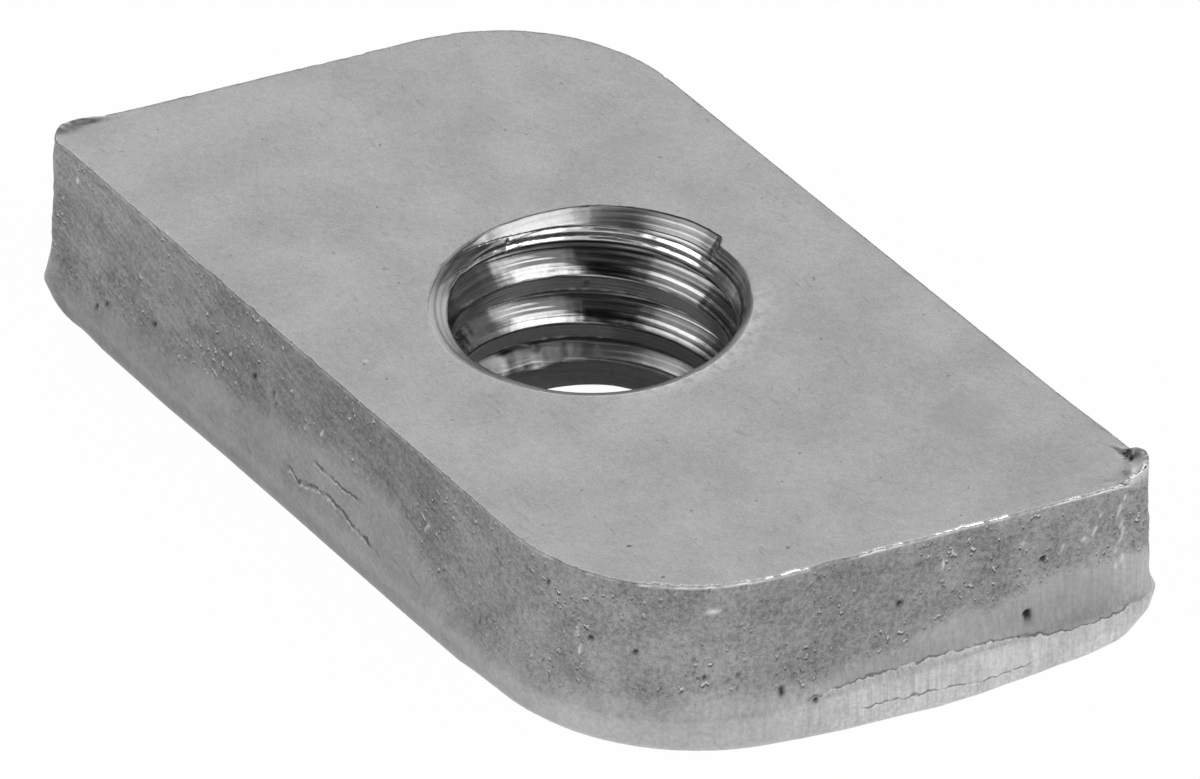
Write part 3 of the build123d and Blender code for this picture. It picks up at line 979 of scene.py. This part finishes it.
def sheared_steel(finish):
    """Cut wall: dark torn grain above, lighter burnished band with upright drag lines below."""
    material, nodes, place = start_material("sheared_steel")
    torn, painted_shade, painted_glint = (nodes.value(name) for name in ("torn", "painted_shade", "painted_glint"))
    # place along the edge in units of 100 mm, and the tones of the torn part and the smooth band
    along, torn_mark, smooth_mark = nodes.parts(nodes.value("turning", "Vector"))
    level = nodes.parts(place)[2]
    grit = nodes.noise(place, 11.0, 4.0, 0.65)
    fine = nodes.noise(place, 30.0, 2.0, 0.6)
    patch = nodes.noise(place, 0.9, 3.0, 0.6)
    drag = nodes.noise(nodes.scaled(place, (16.0, 16.0, 0.7)), 1.0, 3.0, 0.6)

    # highlights painted on crumbs of torn metal, thickest in places, each with shade painted just
    # below it
    crowd = nodes.noise(place, 0.75, 2.0).band(0.42, 0.60, 0.15, 1.0) * torn
    crumb_and_highlight = nodes.noise(place, 8.5, 2.0, 0.6).band(0.61, 0.69) * crowd
    shifted = nodes.add("ShaderNodeMapping", Vector=place, Location=(0.0, 0.0, 0.045))
    dark_painted_hollow = nodes.noise(shifted, 8.5, 2.0, 0.6).band(0.60, 0.68) * crowd

    # streaks and thin dark lines that slant down the long wall
    long_wall = along.band(0.12, 0.16, 1.0, 0.2)
    streaks = nodes.add("ShaderNodeCombineXYZ", X=along * 110.0, Y=level * 9.0 + along * 260.0)
    lines = nodes.noise(streaks, 1.7, 2.0, 0.5).band(0.62, 0.70) * long_wall

    torn_tone = grit.swing(0.26) + patch.swing(0.17, 0.2) + fine.swing(0.14, 0.2) + 1.0
    torn_tone = torn_tone + nodes.noise(streaks, 1.0, 3.0).swing(0.12, 0.2) * long_wall
    smooth_tone = drag.swing(1.0) * smooth_mark.band(0.95, 1.35, 0.02, 0.14) + patch.swing(0.1, 0.2)
    smooth_tone = smooth_tone + fine.swing(0.06, 0.2) + grit.swing(0.12) + 1.0
    # the smooth band is darker toward the bottom of the roll under the long edges than under
    # the front one
    low_darkening = smooth_mark.band(0.60, 1.0, 0.30, 0.0) * level.band(0.25, 0.60, 1.0, 0.0)
    smooth_colour = nodes.shade(finish.burnished_colour, smooth_tone * smooth_mark * (1.0 - low_darkening))
    torn_colour = nodes.shade(finish.torn_colour, torn_tone * torn_mark)

    # cracks painted dark as their shade, each with a highlight painted on its lower lip
    crack_shade, lip_highlight = 0.0, 0.0
    wobble = nodes.noise(place, 5.0, 3.0).swing(0.05, 0.3)
    for string in WALL_CRACKS:
        line = nodes.curve(along, [(point[0] * 0.01, point[1] * 0.2) for point in string])
        rise = level + wobble - line * 5.0
        first, last = string[0][0] * 0.01, string[-1][0] * 0.01
        ends = along.band(first - 0.001, first + 0.001)
        ends = ends * along.band(last - 0.001, last + 0.001, 1.0, 0.0)
        thick = 1.5 if last < 0.15 else 1.0
        dark = abs(rise).band(0.008 * thick, 0.030 * thick, 0.42 + 0.2 * thick, 0.0)
        under = abs(rise + 0.038 * thick).band(0.006, 0.024, 0.35, 0.0)
        crack_shade = largest(dark * ends, crack_shade)
        lip_highlight = largest(under * ends, lip_highlight)
        if string is WALL_CRACKS[LEDGE]:
            fade = along.band(0.200, 0.212) * along.band(0.252, 0.268, 1.0, 0.45)
            over_ledge = rise.band(-0.02, 0.03) * fade * (1.0 - torn)
    crack_shade = crack_shade * nodes.noise(place, 3.1, 2.0).band(0.38, 0.5, 0.25, 1.0)

    colour = nodes.mix(torn, smooth_colour, torn_colour)
    # shade painted in cracks, pits and hollows; highlights painted on crumbs, crack lips and
    # scratches
    for share, grey in (
            (over_ledge * 0.58, 0.22), (lines * 0.35, 0.06), (lip_highlight * grit.band(0.35, 0.6), 0.80),
            (crack_shade, 0.03), (dark_painted_hollow * 0.70, 0.04), (crumb_and_highlight * 0.58, 0.90), (painted_shade * 0.97, 0.02),
            (painted_glint * 0.9, 0.95)):
        colour = nodes.toward(colour, share, grey)
    rough = torn * 0.16 + 0.36 - painted_glint.band(0.3, 1.0, 0.0, 0.32)
    torn_height = (grit * 0.45 + fine * 0.20) * torn + crumb_and_highlight * 0.9
    smooth_height = drag * smooth_mark.band(0.95, 1.35, 0.06, 0.35) * (1.0 - torn) + grit * 0.10
    height = (torn_height + smooth_height) * painted_glint.band(0.3, 0.9, 1.0, 0.2)
    finish_material(nodes, colour, rough, height, WALL_BUMP)
    return material


def tapped_steel(finish, sizes):
    """Bright cut steel of the hole: fine lines and painted strokes of light run along the thread.
    """
    material, nodes, place = start_material("tapped_steel")
    # in the hole, torn holds the scored side, where the right strokes of light are painted
    coned, painted_shade, painted_glint, scored_and_lit = (nodes.value(name) for name in ("bored", "painted_shade", "painted_glint", "torn"))
    turning = nodes.value("turning", "Vector")
    cosine, sine, deep = nodes.parts(turning)
    lines = nodes.noise(turning, 3.6, 3.0, 0.6)
    broad = nodes.noise(turning, 1.6, 1.0, 0.5)
    grit = nodes.noise(place, 14.0, 3.0, 0.6)
    # place across the groove in pitches, 0 in its middle, made a little uneven
    across = nodes.math("ARCTAN2", sine, cosine) / (2 * pi) + lines.band(0.2, 0.8, 0.095, 0.135)
    across = nodes.add("ShaderNodeMath", {"operation": "WRAP"}, i0=across, i1=0.5, i2=-0.5)

    def stroke(middle, half, strength, value=across):
        return abs(value - middle).band(0.3 * half, half, strength, 0.0)

    plain = scored_and_lit.band(-0.6, -0.1, 1.0, 0.0)
    scored_and_lit = largest(scored_and_lit, 0.0)
    # place to the right of the far side in mm; the painted strokes on the left reach less far
    # at the root
    aside = (sin(sizes["thread_start"]), -cos(sizes["thread_start"]), 0.0)
    sidelong = nodes.measure("DOT_PRODUCT", place, aside)
    shown = (sidelong + 1.30 - across * 4.4).band(-0.22, 0.18, 1.0, 0.0)
    # base tones painted on the flanks to either side, as reflections of the softboxes
    deeper = deep.band(0.60, 0.64, 1.0, 2.2)
    right = sidelong.band(0.6, 1.1, 0.18, 0.24) * deeper
    for mark in RIGHT_STROKES:
        right = largest(stroke(*mark), right)
    left = across.band(0.17, 0.21)
    for mark in LEFT_STROKES:
        left = largest(stroke(*mark), left)
    left = largest(left * shown, sidelong.band(-1.9, -1.0, 0.85, 0.20), deeper * 0.20)
    cone = largest(*[stroke(*mark, coned) for mark in CONE_STROKES], 0.50) * scored_and_lit + (1.0 - scored_and_lit)

    # flanks and crests painted lighter or darker as their reflections, the collar darker
    flank = abs(across).band(0.34, 0.37, 1.0, 0.0) * (1.0 - plain)
    crest = (deep.band(0.49, 0.54, 2.3, 1.15) - plain * 0.25) * scored_and_lit.band(0.0, 1.0, 1.0, 0.65)
    thread = (right * scored_and_lit + left * (1.0 - scored_and_lit)) * flank + crest * (1.0 - flank)
    on_cone = coned.band(0.01, 0.06)
    painted_light = cone * on_cone + thread * (1.0 - on_cone)
    tone = (lines.swing(0.14, 0.2) + grit.swing(0.06, 0.2) + 1.0) * painted_light
    colour = nodes.shade(finish.bore_colour, nodes.math("MINIMUM", tone, 1.8))
    # shade painted in the pits, at the far rim and in the countersink's rings; glint on the burr
    colour = nodes.toward(colour, painted_shade * 0.95, 0.01)
    colour = nodes.toward(colour, painted_glint, 0.98)
    rough = lines.band(0.3, 0.7, 0.17, 0.24) + coned * 0.14 + painted_glint * 0.75
    rough = rough + deep.band(0.60, 0.64, 0.0, 0.14)
    height = (lines * 0.5 + broad) * scored_and_lit.band(0.0, 1.0, 1.0, 1.8) + grit * 0.04
    finish_material(nodes, colour, rough, height, BORE_BUMP)
    return material


class NutSizes(bpy.types.PropertyGroup):
    """Sizes of the slide nut."""

    width: FloatProperty(
        name="Width", description="Between the long edges at the widest level",
        default=0.0101, unit="LENGTH", precision=5)
    length: FloatProperty(
        name="Length", description="Between the short edges, square to them",
        default=0.01695, unit="LENGTH", precision=5)
    thickness: FloatProperty(
        name="Thickness", description="Plate thickness", default=0.0035, unit="LENGTH", precision=5)
    lean: FloatProperty(
        name="Lean", description="How far the short edges lean from square",
        default=radians(12.0), subtype="ANGLE")
    round_radius: FloatProperty(
        name="Round corners", description="Radius of the two blunt corners",
        default=0.00385, unit="LENGTH", precision=5)
    tip_radius: FloatProperty(
        name="Tips", description="Radius of the two pointed corners",
        default=0.00064, unit="LENGTH", precision=5)
    mouth_inset: FloatProperty(
        name="Draw-in", description="How far the wall has drawn in at the face",
        default=0.000235, unit="LENGTH", precision=6)
    minor: FloatProperty(
        name="Minor diameter", description="Thread diameter over its crests",
        default=0.00484, unit="LENGTH", precision=5)
    pitch: FloatProperty(
        name="Pitch", description="Thread pitch", default=0.001, unit="LENGTH", precision=5)
    thread_depth: FloatProperty(
        name="Thread depth", description="From crest to root",
        default=0.0004, unit="LENGTH", precision=5)
    groove_start: FloatProperty(
        name="Groove start",
        description="Depth of the first groove where the turns are counted from",
        default=-0.000115, unit="LENGTH", precision=6)
    thread_start: FloatProperty(
        name="Thread start", description="Direction from which turns of the thread are counted",
        default=2.5272, subtype="ANGLE")
    exit_break: FloatProperty(
        name="Exit break", description="Edge break of the hole at the underside",
        default=0.00002, unit="LENGTH", precision=6)

    def in_mm(self):
        """All lengths in millimetres, angles in radians."""
        names = ("width", "length", "thickness", "round_radius", "tip_radius", "mouth_inset",
                 "minor", "pitch", "thread_depth", "groove_start", "exit_break")
        sizes = {name: getattr(self, name) * 1000.0 for name in names}
        sizes["lean"], sizes["thread_start"] = self.lean, self.thread_start
        return sizes


class NutFinish(bpy.types.PropertyGroup):
    """Colours of the bare steel."""

    face_colour: FloatVectorProperty(
        name="Face", description="Satin grey of the flat faces",
        default=(0.71, 0.71, 0.71), subtype="COLOR", min=0, max=1)
    torn_colour: FloatVectorProperty(
        name="Torn wall", description="Dark grey of the torn part of the wall",
        default=(0.30, 0.30, 0.30), subtype="COLOR", min=0, max=1)
    burnished_colour: FloatVectorProperty(
        name="Burnished band", description="Lighter grey of the band below it",
        default=(0.42, 0.42, 0.42), subtype="COLOR", min=0, max=1)
    bore_colour: FloatVectorProperty(
        name="Hole", description="Bright cut steel of the thread",
        default=(0.55, 0.55, 0.55), subtype="COLOR", min=0, max=1)


class NutStudio(bpy.types.PropertyGroup):
    """Camera and lamps."""

    azimuth: FloatProperty(
        name="Azimuth", description="Direction of the camera round the nut",
        default=0.9565, subtype="ANGLE")
    elevation: FloatProperty(
        name="Elevation", description="Height angle of the camera", default=0.6346, subtype="ANGLE")
    distance: FloatProperty(
        name="Distance", description="From the camera to the hole's mouth",
        default=0.20653, unit="LENGTH", precision=5)
    focal: FloatProperty(
        name="Focal length", description="Of the lens, in millimetres", default=369.1)
    left_turn: FloatProperty(
        name="Left lamp turn", description="Left softbox from the line of sight, seen from above",
        default=radians(70.0), subtype="ANGLE")
    right_turn: FloatProperty(
        name="Right lamp turn", description="Right softbox from the line of sight, seen from above",
        default=radians(57.0), subtype="ANGLE")
    lamp_lift: FloatProperty(
        name="Lamp height", description="Angle of both softboxes above the floor",
        default=radians(44.0), subtype="ANGLE")
    lamp_strength: FloatProperty(
        name="Lamps", description="Watts for each square metre of a softbox", default=6.0)


class BuildNut(bpy.types.Operator):
    """Builds the slide nut as one closed mesh and gives it its steel"""

    bl_idname = "object.build_slide_nut"
    bl_label = "Build slide nut"

    def execute(self, context):
        sizes = context.scene.nut_sizes.in_mm()
        shell = Shell()
        face_ring, foot_ring = add_outside(shell, sizes)
        add_hole(shell, sizes, face_ring, foot_ring)
        mesh = mesh_from_shell("slide_nut_blank", shell)
        finish = context.scene.nut_finish
        for material in (face_steel(finish), sheared_steel(finish), tapped_steel(finish, sizes)):
            mesh.materials.append(material)
        nut = bpy.data.objects.new("slide_nut_blank", mesh)
        context.scene.collection.objects.link(nut)
        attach(nut, "root")
        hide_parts("slide_nut")
        return {"FINISHED"}


def placed(place, x, y, z):
    """Matrix that puts an object at a place, with its axes along x, y and z."""
    return Matrix.Translation(place) @ Matrix((x, y, z)).transposed().to_4x4()


class BuildStudio(bpy.types.Operator):
    """Adds the white floor, the world, two softboxes and the camera"""

    bl_idname = "scene.build_nut_studio"
    bl_label = "Build studio"

    def execute(self, context):
        studio = context.scene.nut_studio
        self.add_floor(context)
        self.add_world(context, studio)
        self.add_lamps(context, studio)
        self.add_camera(context, studio)
        context.scene.view_settings.view_transform = "Standard"
        return {"FINISHED"}

    def add_floor(self, context):
        """A wide floor just under the nut: white to the camera, matte where the hole shows it."""
        half, level = 1.2, -0.00002
        mesh = bpy.data.meshes.new("floor")
        corners = [(half * x, half * y, level) for x, y in ((-1, -1), (1, -1), (1, 1), (-1, 1))]
        mesh.from_pydata(corners, [], [(0, 1, 2, 3)])
        material = bpy.data.materials.new("floor_white")
        material.use_nodes = True
        tree = material.node_tree
        tree.nodes.remove(tree.nodes["Principled BSDF"])
        nodes = Nodes(tree)
        # clear of the hole, metal mirrors the floor as white too
        place = nodes.add("ShaderNodeTexCoord", output="Object")
        clear = nodes.measure("LENGTH", place).band(*FLOOR_RING)
        mirrored = largest(nodes.ray("Glossy"), nodes.ray("Transmission")) * clear
        seen = largest(nodes.ray("Camera"), mirrored) * 0.985
        # under the hole, what metal mirrors of the floor is painted darker, as painted shade
        tone = nodes.toward((0.9, 0.9, 0.9, 1.0), (1.0 - clear) * nodes.ray("Glossy"), 0.65)
        matte = nodes.add("ShaderNodeBsdfDiffuse", Color=tone)
        white = nodes.add("ShaderNodeEmission", Color=WHITE, Strength=1.0)
        both = nodes.add("ShaderNodeMixShader", i0=seen, i1=matte, i2=white)
        nodes.put(both, tree.nodes["Material Output"].inputs["Surface"])
        mesh.materials.append(material)
        floor = bpy.data.objects.new("floor", mesh)
        context.scene.collection.objects.link(floor)

    def add_world(self, context, studio):
        """White to the camera and behind the nut; darker overhead and behind the camera."""
        world = bpy.data.worlds.new("studio")
        context.scene.world = world
        world.use_nodes = True
        nodes = Nodes(world.node_tree)
        direction = nodes.add("ShaderNodeTexCoord", output="Generated")
        away = (-sin(studio.azimuth), cos(studio.azimuth), 0.0)
        behind = nodes.measure("DOT_PRODUCT", direction, away)
        up = nodes.parts(direction)[2]
        backdrop = behind.band(0.57, 0.77) * up.band(0.65, 0.85, 1.0, 0.0)
        front = behind.band(-0.80, -0.60, 0.50, 0.0)
        low = up.band(0.05, 0.40, 0.60, 0.0)
        dusk = up.band(0.60, 0.80, 0.09, 0.025)
        room = largest(backdrop, front, low, dusk)
        room = room * largest(nodes.ray("Glossy"), nodes.ray("Diffuse"))
        background = world.node_tree.nodes["Background"]
        nodes.put(WHITE, background.inputs["Color"])
        strength = largest(room, nodes.ray("Camera"), nodes.ray("Transmission"))
        nodes.put(strength, background.inputs["Strength"])

    def add_lamps(self, context, studio):
        """Two softboxes, one each side of the line of sight, aimed at the nut."""
        across = Vector((cos(studio.azimuth), sin(studio.azimuth), 0.0))
        toward = Vector((sin(studio.azimuth), -cos(studio.azimuth), 0.0))
        tall, lift = 0.20, studio.lamp_lift
        boxes = (
            (-studio.left_turn, 0.225, "softbox_left"), (studio.right_turn, 0.26, "softbox_right"))
        for turn, side, label in boxes:
            data = bpy.data.lights.new(label, "AREA")
            data.shape, data.size, data.size_y = "RECTANGLE", side, tall
            data.energy = studio.lamp_strength * side * tall
            lamp = bpy.data.objects.new(label, data)
            context.scene.collection.objects.link(lamp)
            away = (toward * cos(turn) + across * sin(turn)) * cos(lift) + Vector((0, 0, sin(lift)))
            wide = Vector((0, 0, 1)).cross(away).normalized()
            upward = away.cross(wide)
            lamp.matrix_world = placed(away * LAMP_DISTANCE, wide, upward, away)
            lamp.visible_camera = False

    def add_camera(self, context, studio):
        """Camera at the photograph's angle: its axes come from azimuth and elevation."""
        a, e = studio.azimuth, studio.elevation
        back = Vector((sin(a) * cos(e), -cos(a) * cos(e), sin(e)))
        right = Vector((cos(a), sin(a), 0.0))
        up = back.cross(right)
        data = bpy.data.cameras.new("camera")
        data.sensor_width, data.lens = 36.0, studio.focal
        data.clip_start, data.clip_end = 0.01, 20.0
        camera = bpy.data.objects.new("camera", data)
        context.scene.collection.objects.link(camera)
        mouth = Vector((0.0, 0.0, context.scene.nut_sizes.thickness))
        place = mouth + back * studio.distance + right * CAMERA_SHIFT[0] + up * CAMERA_SHIFT[1]
        camera.matrix_world = placed(place, right, up, back)
        context.scene.camera = camera


class NutPanel(bpy.types.Panel):
    """Lists the sizes, colours and steps of the slide nut"""

    bl_idname = "VIEW3D_PT_slide_nut"
    bl_label = "Slide nut"
    bl_space_type = "VIEW_3D"
    bl_region_type = "UI"
    bl_category = "Slide nut"

    def draw(self, context):
        layout = self.layout
        for group in (context.scene.nut_sizes, context.scene.nut_finish, context.scene.nut_studio):
            box = layout.box()
            for name in group.__annotations__:
                box.prop(group, name)
        layout.operator(BuildNut.bl_idname)
        layout.operator(BuildStudio.bl_idname)


CLASSES = (NutSizes, NutFinish, NutStudio, BuildNut, BuildStudio, NutPanel)


def register():
    for item in CLASSES:
        bpy.utils.register_class(item)
    bpy.types.Scene.nut_sizes = PointerProperty(type=NutSizes)
    bpy.types.Scene.nut_finish = PointerProperty(type=NutFinish)
    bpy.types.Scene.nut_studio = PointerProperty(type=NutStudio)


def unregister():
    del bpy.types.Scene.nut_studio
    del bpy.types.Scene.nut_finish
    del bpy.types.Scene.nut_sizes
    for item in reversed(CLASSES):
        bpy.utils.unregister_class(item)


def main():
    register()
    bpy.ops.object.build_slide_nut()
    bpy.ops.scene.build_nut_studio()


if __name__ == "__main__":
    main()
